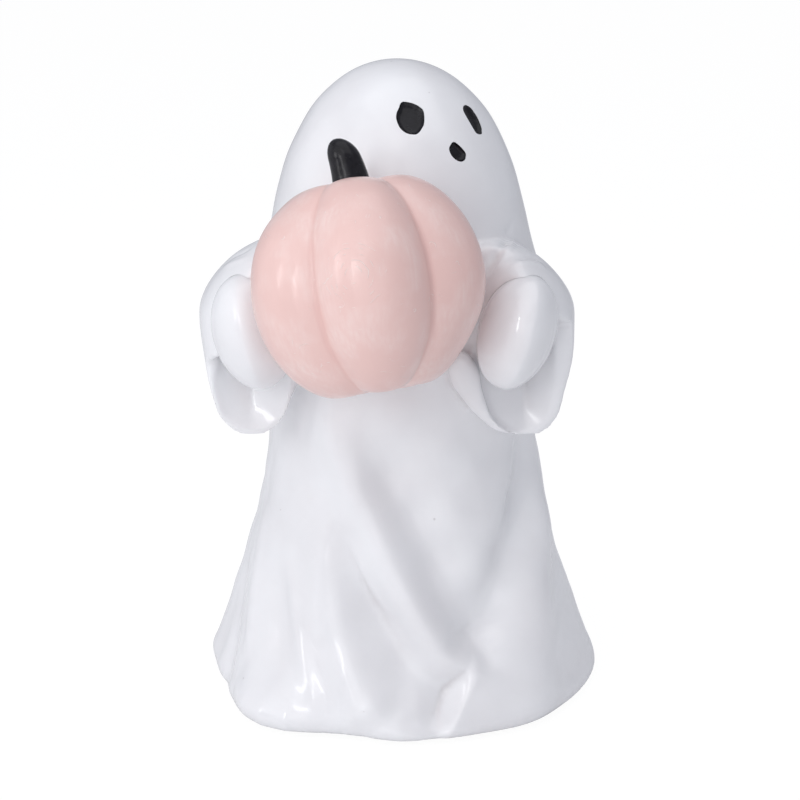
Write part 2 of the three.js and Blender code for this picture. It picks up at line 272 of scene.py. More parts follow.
def lip_power(up):
    return mix(1.15, 0.84, smooth_step(-up, 0.55, 0.85))


def closing(y, start, depth):
    return np.sqrt(1 - (np.clip(start - y, 0, depth) / depth) ** 2)


def sleeve_form(name, side):
    form = ringed_cylinder(name, SLEEVE_SEGMENTS, SLEEVE_RINGS)
    p = points(form)
    y = mix(CUFF_Y + ARM_LENGTH, HOOD_TIP, (p[:, 2] + 1) / 2)
    share = np.minimum((CUFF_Y + ARM_LENGTH - y) / ARM_LENGTH, 1)
    flat = np.maximum(np.hypot(p[:, 0], p[:, 1]), 1e-9)
    across, up = p[:, 0] / flat, p[:, 1] / flat
    reach = smooth_step(share, -0.2, 0.8)
    upper = smooth_step(up, *CLOSED_ABOVE[side])
    outer = side * across > 0
    web = WEB_WIDTH[side] * smooth_step(1 - share, 0, WEB_DEPTH[side]) * (1 - smooth_step(-up, 0.45, 0.95))
    half_width = SLEEVE_HALF_WIDTH[side] * mix(0.8, 1, reach) * mix(1, closing(y, *SIDE_CLOSES), upper)
    half_width = half_width + np.where(outer, 0, web)
    top = SLEEVE_TOP[side] * mix(0.75, 1, reach) * closing(y, *TOP_CLOSES)
    bottom = mix(SLEEVE_TOP[side] * 0.7, SLEEVE_DROP, share)
    power = np.where(up < 0, lip_power(up), np.where(outer, SLEEVE_FULLNESS[side], 1.1))
    x = np.sign(across) * np.abs(across) ** power * half_width
    z = up * np.where(up < 0, bottom, top) - SLEEVE_SLOPE * side * x * np.maximum(up, 0)
    x += LIP_SHIFT[side] * np.minimum(up, 0) ** 2
    move_points(form, np.stack([sleeve_centre(side, share) + flat * x, y, SLEEVE_Z + flat * z], axis=1))
    return form


# %% [markdown]
# The top of each cuff is drawn forward over the back of the hand like a hood, while the sides and the lip
# end further back. A wedge takes away what is in front of the lip and below the hood's slanting edge. It is
# a cube primitive whose corners are moved. The egg is the hand's own shape, a hair larger: once the body is
# one skin, it cuts the pocket that the palm sits in.

# %% Cutting the cuffs
HOOD_LEVEL = {1: 76.2, -1: 69.0}
HOOD_SLANT = 1.6
POCKET_ROOM = 0.03
WEDGE_FRONT = -60
WEDGE_FLOOR = 40
WEDGE_HALF_WIDTH = 80


def wedge_form(name, side):
    bpy.ops.object.select_all(action="DESELECT")
    bpy.ops.mesh.primitive_cube_add(size=2 * MM)
    wedge = named(name)
    level = HOOD_LEVEL[side]
    far_z = level + (CUFF_Y - WEDGE_FRONT) / HOOD_SLANT
    p = points(wedge)
    y = np.where(p[:, 1] > 0, CUFF_Y, WEDGE_FRONT)
    z = np.where(p[:, 2] < 0, WEDGE_FLOOR, np.where(p[:, 1] > 0, level, far_z))
    move_points(wedge, np.stack([p[:, 0] * WEDGE_HALF_WIDTH, y, z], axis=1))
    return wedge


def egg_form(name, side, room):
    bpy.ops.object.select_all(action="DESELECT")
    bpy.ops.mesh.primitive_ico_sphere_add(subdivisions=6, radius=MM)
    egg = named(name)
    move_points(egg, placed_hand(points(egg), side, room))
    return egg


def placed_hand(p, side, room):
    tilt = side * math.radians(HAND_TILT[side])
    x = p[:, 0] * (HAND_HALF_WIDTH[side] + room)
    y = p[:, 1] * (HAND_HALF_DEPTH + room)
    z = p[:, 2] * (HAND_HALF_HEIGHT + room)
    turned_x = x * math.cos(tilt) + z * math.sin(tilt)
    turned_z = z * math.cos(tilt) - x * math.sin(tilt)
    return np.stack([HAND_X[side] + turned_x, HAND_Y + y, HAND_Z + turned_z], axis=1)


# %% [markdown]
# Below the hand the cuff is hollow: two slopes meet in a groove that runs from the lip in under the palm.
# The hollow is the sleeve's own section, smaller by the thickness of the cloth, drawn to a point below. It
# gets shallower with every step inwards, and narrower towards its top, where the hand fills it.

# %% Hollows of the cuffs
VALLEY_DEPTH = 5.5
VALLEY_WALL = 0.8
VALLEY_LEVEL = {1: 76.9, -1: 70.0}
VALLEY_INWARD = {1: 1.2, -1: 0.0}
VALLEY_TOP_SHARE = 0.72
VALLEY_RINGS = 30


def valley_form(name, side):
    form = ringed_cylinder(name, SLEEVE_SEGMENTS, VALLEY_RINGS)
    p = points(form)
    forward = mix(-1.0, 1.0, (p[:, 2] + 1) / 2)
    opening = np.clip(1 + forward, 0, 1)
    flat = np.maximum(np.hypot(p[:, 0], p[:, 1]), 1e-9)
    across, up = p[:, 0] / flat, p[:, 1] / flat
    half_width = mix(0.8, SLEEVE_HALF_WIDTH[side] - VALLEY_WALL, opening**1.1)
    narrowed = mix(VALLEY_TOP_SHARE, 1, smooth_step(-up, 0.0, 0.7))
    half_width = half_width * mix(1, narrowed, smooth_step(opening, 0.5, 1.0))
    bottom = mix(HAND_HALF_HEIGHT - 1, SLEEVE_DROP - VALLEY_WALL, opening**0.9)
    bottom = bottom - (SLEEVE_Z - VALLEY_LEVEL[side])
    power = np.where(up < 0, mix(2.0, lip_power(up), smooth_step(opening, 0.35, 1.0)), 1)
    x = np.sign(across) * np.abs(across) ** power * half_width + LIP_SHIFT[side] * np.minimum(up, 0) ** 2
    z = up * np.where(up < 0, bottom, 2.0)
    y = CUFF_Y - VALLEY_DEPTH * forward
    middle = sleeve_centre(side, 1) - side * VALLEY_INWARD[side] * opening
    move_points(form, np.stack([middle + flat * x, y, VALLEY_LEVEL[side] + flat * z], axis=1))
    return form


# %% [markdown]
# The inner edge of the ghost's left cuff was pressed on to the chest with a thumb, so its lip runs on as a
# rounded strip in front of the torso. A cylinder primitive is drawn along that line.

# %% Strip on the chest
STRIP_PATH = [
    (22.0, -22.8, 56.0), (18.0, -22.9, 57.8), (14.4, -23.4, 61.3), (11.2, -24.4, 66.0), (9.0, -25.2, 71.5),
]
STRIP_HALF_WIDTH = 2.8
STRIP_SEGMENTS = 48
STRIP_RINGS = 60


def strip_form(name):
    form = ringed_cylinder(name, STRIP_SEGMENTS, STRIP_RINGS)
    p = points(form)
    share = (p[:, 2] + 1) / 2
    knots = np.linspace(0, 1, len(STRIP_PATH))
    middle = np.stack([np.interp(share, knots, line) for line in np.array(STRIP_PATH).T], axis=1)
    size = STRIP_HALF_WIDTH * np.sqrt(np.maximum(1 - (2 * share - 1) ** 6, 0.05))
    across = np.stack([p[:, 0] * size * 0.9, p[:, 1] * size * 0.8, p[:, 0] * size * 0.45], axis=1)
    move_points(form, middle + across)
    return form


# %% [markdown]
# On the real casting, gown and sleeves are one piece of resin, and soft fillets run where they meet. The
# boolean modifier cuts the hollows, and a voxel remesh melts all the forms into one skin of even squares. A
# few rounds of smoothing take the voxels' steps away.

# %% One skin
SKIN_STEP = 0.5

forms = []
for side, word in SIDES:
    sleeve = sleeve_form(word + "_sleeve", side)
    combine(sleeve, wedge_form(word + "_wedge", side))
    if side == 1:
        combine(sleeve, strip_form("chest_strip"), "UNION")
    combine(sleeve, valley_form(word + "_valley", side))
    forms.append(sleeve)
    print(sleeve.name, len(sleeve.data.vertices), "points")

only(body)
for form in forms:
    form.select_set(True)
bpy.ops.object.join()
apply_modifier(body, "REMESH", mode="VOXEL", voxel_size=SKIN_STEP * MM)
apply_modifier(body, "SMOOTH", factor=0.5, iterations=6)
print("skin", len(body.data.vertices), "points")

# %% [markdown]
# The cloth of the gown falls in long diagonal folds, which were modelled in clay before the mould was made.
# A fold is drawn as a line down the skirt, through points that give an angle round the bell and a height.
# The helper measures how far each point of the skin lies from such a line, and on which side of it. The
# skin is then raised along the line, or pressed in where the rise is negative, with its own width on either
# side: a narrow side makes a crisp edge and a wide side a soft slope.

# %% Lines on the skin
def smooth_line(path, steps=6):
    knots = np.array(path, float)
    ends = [2 * knots[0] - knots[1], *knots, 2 * knots[-1] - knots[-2]]
    line = []
    for a, b, c, d in zip(ends, ends[1:], ends[2:], ends[3:]):
        for t in np.linspace(0, 1, steps, endpoint=False):
            bend = 2 * a - 5 * b + 4 * c - d
            twist = 3 * b - a - 3 * c + d
            line.append(0.5 * (2 * b + (c - a) * t + bend * t**2 + twist * t**3))
    line.append(knots[-1])
    return np.array(line)


def beside_line(line, u, v):
    steps = np.hypot(*np.diff(line, axis=0).T)
    run = np.concatenate([[0], np.cumsum(steps)])
    nearest = np.full(len(u), 1e9)
    across = np.zeros(len(u))
    along = np.zeros(len(u))
    for start, end, length, before in zip(line, line[1:], steps, run):
        direction = (end - start) / length
        du, dv = u - start[0], v - start[1]
        t = np.clip(du * direction[0] + dv * direction[1], 0, length)
        distance = np.hypot(du - t * direction[0], dv - t * direction[1])
        closer = distance < nearest
        nearest[closer] = distance[closer]
        side = du * direction[1] - dv * direction[0]
        across[closer] = (np.where(side > 0, -1, 1) * distance)[closer]
        along[closer] = (before + t)[closer]
    return across, along / run[-1]


def fold(angle, z, path, rise, left, right, head=0.4, foot=0.0, spread=1.0):
    middle = np.mean([a for a, _ in path])
    line = smooth_line(path)
    line[:, 0] = np.radians(line[:, 0] - middle) * profile_radius(line[:, 1])
    u = np.radians(turn_between(middle, angle)) * profile_radius(z)
    reach = 2.6 * max(left, right) * max(spread, 1)
    low, high = line.min(axis=0) - reach, line.max(axis=0) + reach
    near = (u > low[0]) & (u < high[0]) & (z > low[1]) & (z < high[1])
    across, share = beside_line(line, u[near], z[near])
    width = np.where(across > 0, right, left) * mix(1, spread, share)
    fade = smooth_step(share, 0, head) if head else 1
    fade = fade * (smooth_step(1 - share, 0, foot) if foot else 1)
    total = np.zeros(len(z))
    total[near] = rise * fade * np.exp(-((across / width) ** 2))
    return total


# %% [markdown]
# One broad ridge sweeps from under the pumpkin to the ghost's left foot, with a deep valley on each side,
# and left of it the cloth doubles over a hollow. Folds like these could be sculpted with brushes. A table of
# lines was chosen because one number then corrects a fold. Angles are in degrees, and heights, rises and
# widths in millimetres. The share of a line over which it fades in is its head, and out its foot.

# %% Folds of the skirt
FOLDS = [
    # the broad ridge that sweeps from under the pumpkin to the ghost's left foot, and the valley beside it
    dict(path=[(-36, 66), (-31, 60), (-25, 54), (-18, 47), (-9, 39), (-1, 31), (7, 21), (13, 14), (18, 7)],
         rise=2.5, left=4.2, right=4.2, head=0.25, foot=0.15, spread=1.4),
    dict(path=[(-26, 61), (-17, 54), (-10, 48.5), (-2, 42), (6.5, 34.5), (14, 26.5), (20, 19), (22, 13)],
         rise=-3.0, left=4.0, right=6.5, head=0.35, foot=0.1),
    # the valley on its far side
    dict(path=[(71, 60), (66, 50), (61, 42), (54, 36.5), (46, 31), (39, 26), (33, 21), (27, 16),
               (23, 11.5)],
         rise=-2.6, left=4.6, right=3.6, head=0.4, foot=0.1),
    # the upright ridge over the ghost's left foot
    dict(path=[(84, 50), (78, 42), (68, 33), (59, 26), (51, 18), (44, 10), (40, 4)],
         rise=2.1, left=4.0, right=3.6, head=0.4, spread=1.7),
    # the hollow left of the broad ridge, the pleat that overlaps it, and the thin step across it
    dict(path=[(-23, 40), (-19.5, 34.5), (-15, 28), (-8, 21.3), (-0.5, 15.5), (6.5, 11), (12.5, 7.8),
               (17, 6)],
         rise=-4.9, left=4.3, right=3.4, head=0.6, foot=0.08, spread=1.6),
    dict(path=[(-32, 43), (-31, 36), (-28.3, 29.2), (-24.3, 23.3), (-20, 17.5), (-14, 12), (-9.5, 7.7),
               (-5, 4)],
         rise=1.8, left=6.0, right=3.0, head=0.35, foot=0.12, spread=1.3),
    dict(path=[(-21, 37), (-16.3, 31.6), (-11.8, 26.8), (-7.5, 23.6), (-2, 21.4)],
         rise=0.6, left=0.6, right=3.0, foot=0.3),
    # soft ridges on the ghost's right
    dict(path=[(-51, 36), (-48, 31), (-44, 26), (-35, 16), (-27, 8), (-25, 4)],
         rise=0.7, left=2.4, right=1.6, foot=0.2),
    dict(path=[(-52, 32), (-48, 24), (-42, 16), (-36, 9)], rise=-0.6, left=4.0, right=3.4, foot=0.3),
    dict(path=[(-72, 38), (-70, 33), (-64, 25), (-59, 17), (-56, 8)],
         rise=0.45, left=1.8, right=1.8, foot=0.2),
    dict(path=[(-74, 38), (-68, 27), (-60, 17), (-52, 10), (-46, 3)],
         rise=1.3, left=4.5, right=6.0, spread=1.4),
    dict(path=[(-84, 30), (-77, 18), (-71, 10), (-67, 2)], rise=-0.8, left=3.0, right=3.0, head=0.8),
    dict(path=[(-102, 42), (-98, 25), (-94, 4)], rise=1.0, left=6.0, right=5.0),
    # the back, which the photograph doesn't show: broad soft folds
    dict(path=[(114, 54), (110, 30), (104, 12)], rise=-0.9, left=6.0, right=6.0, foot=0.3),
    dict(path=[(125, 60), (123, 32), (116, 4)], rise=-1.6, left=5.0, right=4.5),
    dict(path=[(140, 55), (139, 30), (144, 4)], rise=1.7, left=5.0, right=4.5),
    dict(path=[(172, 60), (173, 34), (166, 5)], rise=-1.7, left=4.6, right=4.6),
    dict(path=[(196, 52), (196, 28), (190, 4)], rise=1.7, left=5.5, right=6.0),
    dict(path=[(212, 58), (217, 34), (222, 6)], rise=-1.8, left=4.5, right=4.0),
    dict(path=[(240, 46), (240, 26), (246, 4)], rise=1.6, left=5.5, right=5.0),
]
# how far the hem is lifted, in millimetres, at each angle
HEM_LINE = [
    (-180, 0.6), (-160, 0.4), (-130, 0.6), (-100, 0.4), (-84, -0.2), (-70, -0.4), (-56, 1.6), (-47, 3.4),
    (-40, 4.2), (-33, 3.6), (-28, 2.2), (-23, 0.8), (-18, 0.0), (-12, 0.1), (-7, 1.0), (-1, 1.7), (4, 1.7),
    (10, 1.1), (21, 0.8), (33, 1.0), (45, 0.5), (66, 0.2), (90, 0.3), (120, 0.0), (150, 0.6), (180, 0.6),
]
HEM_REACH = 7.0
HEM_MIDDLE_Z = 3
LUMP_RISE = 0.45
LUMP_SIZE = 7.0
LUMP_SEED = 3.0


def hem_rise(angle, z):
    around, rises = np.array(HEM_LINE).T
    return np.interp(angle, around, rises) * np.exp(-(((z - HEM_MIDDLE_Z) / HEM_REACH) ** 2))


def shoulder_rise(angle, z):
    total = np.zeros(len(z))
    for side in (-1, 1):
        turn = np.radians(turn_between(side * SHOULDER_ANGLE, angle))
        across = turn * WAIST_RADIUS / SHOULDER_SPREAD
        up = (z - SLEEVE_Z) / SHOULDER_SPREAD
        total += SHOULDER_RISE * np.exp(-(across**2) - up**2)
    return total


def soft_lumps(places, size, seed):
    shifted = Vector((seed, seed, seed))
    return np.array([noise.noise(Vector(place) / size + shifted) for place in places])


# %% [markdown]
# Small wrinkles gather where the cloth bunches over the hands, and two pinched lines climb from under the
# arm. Each is a short line in space. The skin near it is lifted or pressed along its own normal. They come
# before the folds, which move them along with the cloth.

# %% Wrinkles of the cuffs
WRINKLES = [
    dict(path=[(18.9, -25.2, 88.2), (20.1, -24.6, 88.5), (21.7, -22.9, 88.3), (23.5, -20.5, 87.5),
               (25.2, -19.1, 86.2)], rise=-0.35, width=0.65),
    dict(path=[(18.0, -26.2, 87.2), (19.4, -26.1, 87.9), (21.6, -25.0, 87.9), (24.0, -22.4, 86.9),
               (25.7, -21.4, 85.6)], rise=0.3, width=0.7),
    dict(path=[(13.6, -23.2, 84.0), (15.1, -23.4, 86.6), (16.1, -22.9, 88.6), (17.6, -20.0, 90.0),
               (19.2, -12.6, 91.2), (20.0, -11.0, 93.0)], rise=-0.6, width=0.75),
    dict(path=[(15.0, -24.5, 84.6), (17.2, -24.1, 87.9), (18.6, -20.9, 89.6), (20.3, -12.2, 90.0)],
         rise=0.3, width=0.7),
    dict(path=[(16.5, -25.0, 86.8), (18.5, -22.8, 88.9), (20.5, -15.0, 89.2)], rise=-0.25, width=0.5),
    dict(path=[(-32.1, -23.9, 85.2), (-30.4, -24.8, 85.5), (-28.0, -27.9, 86.6)], rise=-0.2, width=0.6),
    dict(path=[(-32.9, -19.9, 85.3), (-30.0, -23.1, 87.5), (-27.4, -24.6, 88.7)], rise=0.2, width=0.8),
    dict(path=[(-31.5, -18.4, 86.7), (-29.0, -20.6, 88.5), (-26.9, -19.9, 89.6)], rise=-0.2, width=0.7),
]


def wrinkle(places, path, rise, width):
    line = smooth_line(path)
    lengths = np.concatenate([[0], np.cumsum(np.linalg.norm(np.diff(line, axis=0), axis=1))])
    apart = np.linalg.norm(places[:, None] - line[None], axis=2)
    nearest = apart.argmin(axis=1)
    share = lengths[nearest] / lengths[-1]
    fade = smooth_step(share, 0, 0.3) * smooth_step(1 - share, 0, 0.3)
    return rise * fade * np.exp(-((apart.min(axis=1) / width) ** 2))


skin = points(body)
facing = normals(body)
for line in WRINKLES:
    low, high = np.min(line["path"], axis=0) - 3, np.max(line["path"], axis=0) + 3
    near = ((skin > low) & (skin < high)).all(axis=1)
    skin[near] += wrinkle(skin[near], **line)[:, None] * facing[near]
move_points(body, skin)
print(len(WRINKLES), "wrinkles")

# %% [markdown]
# The folds belong to the gown alone, so they fade out on the sleeves and under the foot. A painted map in a
# displace modifier could do this, but a sum of formulas is easier to read and always comes out the same. The
# waves of the hem, the round of the shoulders and a faint unevenness from the modeller's hands are added.

# %% Raising the folds
skin = points(body)
z = skin[:, 2]
out_x, out_y = skin[:, 0] - axis_x(z), skin[:, 1]
angle = np.degrees(np.arctan2(out_x, -out_y))
radius = np.hypot(out_x, out_y)
on_gown = 1 - smooth_step(radius - profile_radius(z), 2, 5)
on_gown *= smooth_step(radius / np.maximum(profile_radius(z), 1), 0.3, 0.9)
folds = sum(fold(angle, z, **line) for line in FOLDS)
low_on_skirt = 1 - smooth_step(z, 1, 5)
rise = on_gown * (mix(folds, 0.4 * folds, low_on_skirt) + hem_rise(angle, z) + shoulder_rise(angle, z))
lumps = LUMP_RISE * soft_lumps(skin, LUMP_SIZE, LUMP_SEED)
lumps *= 1 - 0.6 * smooth_step(z, 60, 80)
lumps *= smooth_step(z, 1, 6)
rise += lumps * (1 - smooth_step(radius - profile_radius(z), 6, 9))
skin[:, 0] += rise * np.sin(np.radians(angle))
skin[:, 1] -= rise * np.cos(np.radians(angle))
move_points(body, skin)
print("folds rise from", round(float(rise.min()), 2), "to", round(float(rise.max()), 2), "mm")

# %% [markdown]
# The pumpkin is a ribbed ball with five lobes and a dimple on top, cast on its own and glued to the chest.
# A sphere primitive is cut finely enough that the creases between the lobes run along its own edges, which
# keeps them crisp. One formula gives the radius for each direction, and the same formula, a little larger,
# is the seat that is cut out of the chest. A few shallow dints, each with a direction, a width in radians
# and a rise in millimetres, take away the look of a turned ball.

# %% Pumpkin
PUMPKIN_RADIUS = 20.7
PUMPKIN_HALF_HEIGHT = 20.4
PUMPKIN_LOBES = 5
GROOVE_DEPTH = 3.9
DIMPLE_DEPTH = 3.6
DIMPLE_RADIUS = 7.0
PUMPKIN_TIP_BACK = 16
PUMPKIN_LEAN = 9
FRONT_LOBE_TURN = 8.5
GROOVE_SHARPNESS = 0.8
GROOVE_ROUNDING = 0.055
DINTS = [
    ((0.75, -0.2, -0.65), 0.42, -1.5), ((-0.55, -0.3, 0.8), 0.3, -0.7), ((-0.1, -0.35, 0.9), 0.25, 0.4),
]
tip_back = Matrix.Rotation(math.radians(-PUMPKIN_TIP_BACK), 3, "X")
lean = Matrix.Rotation(math.radians(-PUMPKIN_LEAN), 3, "Y")
PUMPKIN_TURN = np.array(lean @ tip_back)


def on_pumpkin(local):
    return local @ PUMPKIN_TURN.T + PUMPKIN_CENTRE


def from_pumpkin(places):
    return (places - PUMPKIN_CENTRE) @ PUMPKIN_TURN


def lobe_place(turn, climb):
    """Angle round the pumpkin for a place of the lobes; the front lobe narrows below and on its right."""
    front = np.exp(-((turn / 0.95) ** 4))
    narrow = 0.2 * smooth_step(-climb, 0.4, 0.95)
    right_crease = math.radians(3.4) * np.exp(-(((turn - math.pi / PUMPKIN_LOBES) / 0.5) ** 2))
    return turn * (1 - narrow * front) - right_crease + math.radians(FRONT_LOBE_TURN)


def ribbed_ball(directions, turn, extra, lobes=lobe_place):
    flat = np.maximum(np.hypot(directions[:, 0], directions[:, 1]), 1e-6)
    swell = np.hypot(np.cos(PUMPKIN_LOBES / 2 * turn), GROOVE_ROUNDING)
    groove = 1 - swell**GROOVE_SHARPNESS
    r = (PUMPKIN_RADIUS - GROOVE_DEPTH * groove) * flat**0.9
    dimple = DIMPLE_DEPTH * np.exp(-((r / DIMPLE_RADIUS) ** 2))
    z = (PUMPKIN_HALF_HEIGHT - dimple + extra) * directions[:, 2]
    around = lobes(turn, directions[:, 2])
    ball = np.stack([(r + extra * flat) * np.sin(around), -(r + extra * flat) * np.cos(around), z], axis=1)
    heading = ball / np.linalg.norm(ball, axis=1)[:, None]
    for direction, width, rise in DINTS:
        apart = np.arccos(np.clip(heading @ (np.array(direction) / np.linalg.norm(direction)), -1, 1))
        ball += heading * (rise * np.exp(-((apart / width) ** 2)))[:, None]
    return ball


def pumpkin_form(name, segments, rings, extra=0.0):
    bpy.ops.object.select_all(action="DESELECT")
    bpy.ops.mesh.primitive_uv_sphere_add(segments=segments, ring_count=rings, radius=MM)
    form = named(name)
    directions = points(form)
    turn = np.arctan2(directions[:, 0], -directions[:, 1])
    move_points(form, on_pumpkin(ribbed_ball(directions, turn, extra)))
    return form


PUMPKIN_SEGMENTS = 240
PUMPKIN_RINGS = 150
pumpkin = pumpkin_form("pumpkin_casting", PUMPKIN_SEGMENTS, PUMPKIN_RINGS)
print("pumpkin", len(pumpkin.data.vertices), "points")

# %% [markdown]
# The chest is cut away behind the pumpkin, with a hair's breadth for the glue. The wrists go into short
# sockets at the back of the cuffs.

# %% Seats in the body
GLUE_GAP = 0.3
WRIST_END = -13.4
WRIST_HOLE_HALF_WIDTH = 3.9
WRIST_HOLE_HALF_HEIGHT = 5.4
WRIST_HOLE_START = HAND_Y + 4


def wrist_hole(name, side):
    bpy.ops.object.select_all(action="DESELECT")
    bpy.ops.mesh.primitive_cylinder_add(vertices=64, radius=MM, depth=2 * MM)
    hole = named(name)
    p = points(hole)
    x = HAND_X[side] + p[:, 0] * WRIST_HOLE_HALF_WIDTH
    y = np.where(p[:, 2] > 0, WRIST_END + GLUE_GAP, WRIST_HOLE_START)
    move_points(hole, np.stack([x, y, HAND_Z + p[:, 1] * WRIST_HOLE_HALF_HEIGHT], axis=1))
    return hole


combine(body, pumpkin_form("chest_seat", 120, 80, GLUE_GAP))
for side in (1, -1):
    combine(body, egg_form("palm_pocket", side, POCKET_ROOM))
    combine(body, wrist_hole("wrist_hole", side))
print("body with its seats", len(body.data.vertices), "points")

# %% [markdown]
# The hands are mittens without fingers: smooth eggs with one soft ridge down the back, pressed against the
# pumpkin. An ico sphere has no poles that would show in the gloss. The faces at its back are extruded into a
# short wrist, and the side towards the pumpkin is pushed clear of it.

# %% Hands
RIDGE_TURN = {1: 14, -1: -6}
FACETS = 1.55
HAND_CLEAR = {1: 0.8, -1: 0.2}
PALM_HOLLOW = {1: 0.5, -1: 1.4}
PALM_HOLLOW_Z = 68.0
WRIST_FROM = 0.9
STUB_FROM = 1.05
NEAR_PUMPKIN = 26
RAY_START = 40
pumpkin_tree = BVHTree.FromObject(pumpkin, bpy.context.evaluated_depsgraph_get())


def hand_form(name, side):
    bpy.ops.object.select_all(action="DESELECT")
    bpy.ops.mesh.primitive_ico_sphere_add(subdivisions=6, radius=MM)
    hand = named(name)
    nothing_selected("FACE")
    centres = np.array([face.center.y for face in hand.data.polygons]) / MM
    hand.data.polygons.foreach_set("select", centres > WRIST_FROM)
    bpy.ops.object.mode_set(mode="EDIT")
    bpy.ops.mesh.extrude_region_move(TRANSFORM_OT_translate={"value": (0, MM, 0)})
    bpy.ops.object.mode_set(mode="OBJECT")
    p = points(hand)
    heading = np.arctan2(p[:, 0], -p[:, 1]) - math.radians(RIDGE_TURN[side])
    facets = (np.abs(np.cos(heading)) ** FACETS + np.abs(np.sin(heading)) ** FACETS) ** (-1 / FACETS)
    stub = p[:, 1] > STUB_FROM
    shaped = p.copy()
    shaped[:, :2] *= mix(1, facets, smooth_step(-p[:, 1], -0.1, 0.3))[:, None]
    places = placed_hand(shaped, side, 0)
    places[stub, 1] = WRIST_END
    local = from_pumpkin(places)
    clear = HAND_CLEAR[side] + PALM_HOLLOW[side] * np.exp(-(((places[:, 2] - PALM_HOLLOW_Z) / 3.0) ** 2))
    pushed = places.copy()
    for i in np.nonzero(~stub)[0]:
        size = np.linalg.norm(local[i])
        if size > NEAR_PUMPKIN:
            continue
        outward = on_pumpkin(local[i] / size) - PUMPKIN_CENTRE
        hit = pumpkin_tree.ray_cast(Vector((PUMPKIN_CENTRE + RAY_START * outward) * MM), Vector(-outward))
        surface = RAY_START - hit[3] / MM + clear[i]
        if surface > size:
            pushed[i] = PUMPKIN_CENTRE + outward * surface
    move_points(hand, np.where(stub[:, None], places, pushed))
    return hand


hands = {side: hand_form(word + "_mitten", side) for side, word in SIDES}
for hand in hands.values():
    apply_modifier(hand, "SMOOTH", factor=0.5, iterations=4)
    print(hand.name, len(hand.data.vertices), "points")

# %% [markdown]
# The stem is a stubby bent horn, glued into the pumpkin's dimple with a peg. It is a sphere primitive drawn
# out along a curve: its lower half becomes the peg and the foot, and its upper half the rounded shaft.

# %% Stem
STEM_RADIUS = 3.4
STEM_LENGTH = 9.3
STEM_TAPER = 0.9
STEM_BEND = 1.4
STEM_ROUND_FROM = 0.6
PEG_RADIUS = 1.6
PEG_LENGTH = 3.0
DIMPLE_Z = PUMPKIN_HALF_HEIGHT - DIMPLE_DEPTH


def peg_hole():
    bpy.ops.object.select_all(action="DESELECT")
    bpy.ops.mesh.primitive_cylinder_add(vertices=48, radius=MM, depth=2 * MM)
    hole = named("peg_hole")
    p = points(hole)
    z = np.where(p[:, 2] < 0, DIMPLE_Z - PEG_LENGTH - GLUE_GAP, DIMPLE_Z + 4)
    radius = PEG_RADIUS + GLUE_GAP
    move_points(hole, on_pumpkin(np.stack([p[:, 0] * radius, p[:, 1] * radius, z], axis=1)))
    return hole


def stem_form():
    bpy.ops.object.select_all(action="DESELECT")
    bpy.ops.mesh.primitive_uv_sphere_add(segments=96, ring_count=120, radius=MM)
    stem = named("stem_horn")
    p = points(stem)
    around = np.arctan2(p[:, 0], -p[:, 1])
    climb = np.arcsin(np.clip(p[:, 2], -1, 1)) / math.pi + 0.5
    knots = [0.0, 0.04, 0.16, 0.2, 0.26, 1.0]
    along = np.interp(climb, knots, [-PEG_LENGTH, -PEG_LENGTH, 0.9, 0.9, 1.0, STEM_LENGTH])
    share = np.clip(along / STEM_LENGTH, 0, 1)
    tip = np.clip((share - STEM_ROUND_FROM) / (1 - STEM_ROUND_FROM), 0, 1)
    shaft = (STEM_RADIUS - STEM_TAPER * share) * np.sqrt(np.maximum(1 - tip**2.4, 0))
    foot = np.interp(climb, knots, [0, PEG_RADIUS, PEG_RADIUS, STEM_RADIUS - 0.15, 0, 0])
    radius = np.where(climb < 0.23, foot, shaft)
    x = -radius * np.sin(around) - STEM_BEND * share**2
    y = -radius * np.cos(around) * 0.94
    rim = smooth_step(climb, 0.17, 0.2) * (1 - smooth_step(climb, 0.24, 0.5))
    seat = DIMPLE_DEPTH * (1 - np.exp(-((radius / DIMPLE_RADIUS) ** 2)))
    move_points(stem, on_pumpkin(np.stack([x, y, DIMPLE_Z + along + rim * (seat - 0.6)], axis=1)))
    return stem


stem = stem_form()
combine(pumpkin, peg_hole())
print("stem", len(stem.data.vertices), "points")

# %% [markdown]
# Eyes and mouth were pressed into the clay by hand, so none is a true oval, and each is filled with black
# enamel that dries to a shallow dish. An outline is given as points across and up from its middle, in
# millimetres on the skin. A prism of that outline cuts the socket, and a sphere primitive, spread to the
# outline and laid against the skin by casting rays at it, becomes the enamel.

# %% Face
FACE = {
    "right_eye": dict(angle=8.7, z=112.0, outline=[
        (2.5, 0), (2.47, 1.4), (1.93, 2.2), (0.8, 2.95), (-0.45, 3.35), (-1.15, 3.4), (-1.6, 2.9),
        (-1.95, 2.05), (-2.4, 1.15), (-2.6, 0.1), (-2.4, -1.15), (-1.93, -2.2), (-1.05, -3.0), (-0.1, -3.3),
        (0.8, -3.25), (1.57, -2.55), (2.25, -1.4)]),
    "left_eye": dict(angle=56.3, z=110.6, outline=[
        (1.75, 0.1), (1.6, 1.2), (1.4, 2.2), (0.5, 2.95), (-0.6, 2.85), (-1.4, 1.9), (-1.5, 0.2),
        (-1.4, -1.25), (-1.15, -2.5), (-0.5, -2.95), (0.6, -2.95), (1.4, -1.75)]),
    "mouth": dict(angle=33.8, z=105.94, outline=[
        (1.65, -0.4), (1.3, -1.4), (0.35, -1.85), (-0.65, -1.5), (-1.45, -0.5), (-1.6, 0.7), (-1.05, 1.5),
        (-0.15, 1.92), (0.9, 0.9)]),
}
SOCKET_DEPTH = 1.7
ENAMEL_BACK = 1.4
ENAMEL_DISH = 0.75
ENAMEL_GAP = 0.04
SOCKET_FRONT = 3.0
ABOVE_SKIN = 5


